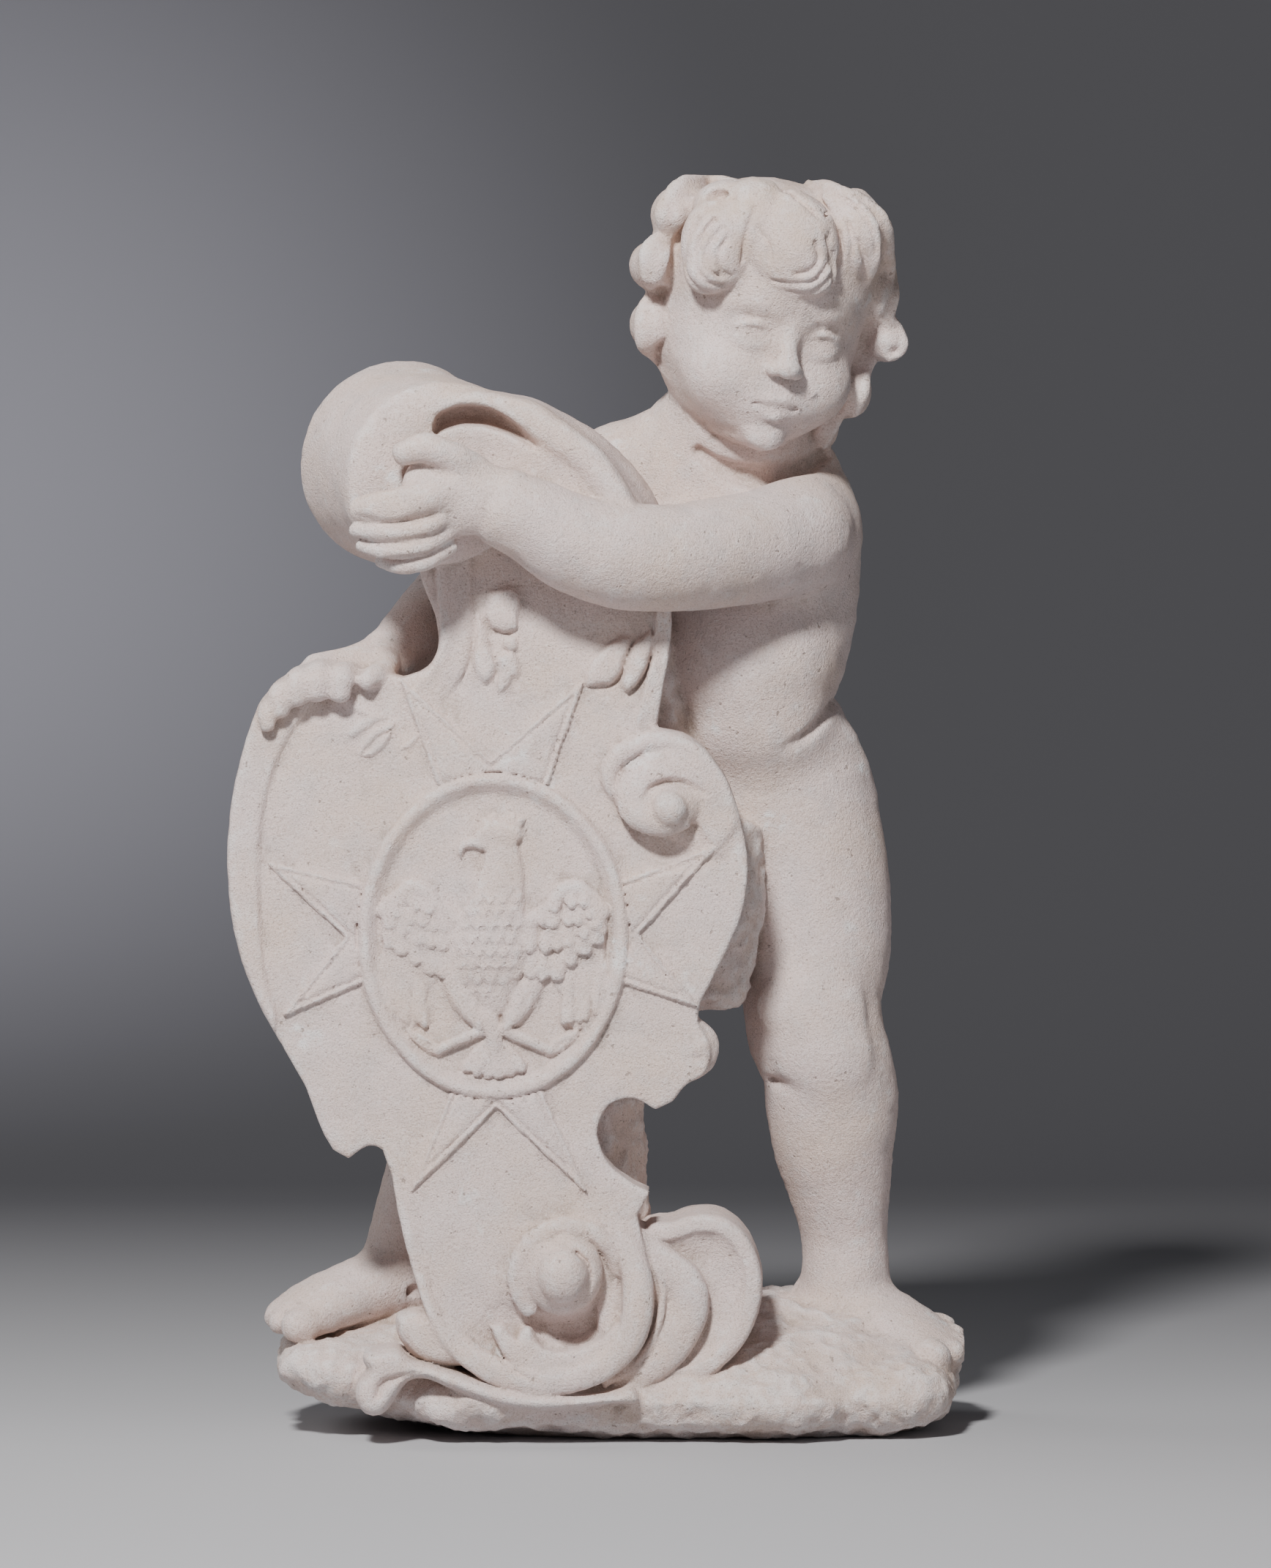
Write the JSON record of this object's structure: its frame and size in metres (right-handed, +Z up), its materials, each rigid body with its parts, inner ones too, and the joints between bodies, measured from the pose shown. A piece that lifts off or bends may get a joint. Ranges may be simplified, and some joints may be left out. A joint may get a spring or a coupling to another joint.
{
  "type": "stone putto statue",
  "caption": "Carved stone child figure standing beside a scrolled cartouche shield with a star and an oval medallion, on a low rock base.",
  "frame": {"origin": "on the floor, under the middle of the whole figure's bounding box", "axes": "+X to the viewer's right, -Y towards the viewer, +Z up"},
  "size_m": [0.5244, 0.298, 0.896],
  "materials": {
    "stone": "matt, weathered, fine sandy grain"
  },
  "bodies": {
    "root": {"putto_statue": "stone"}
  },
  "joints": []
}
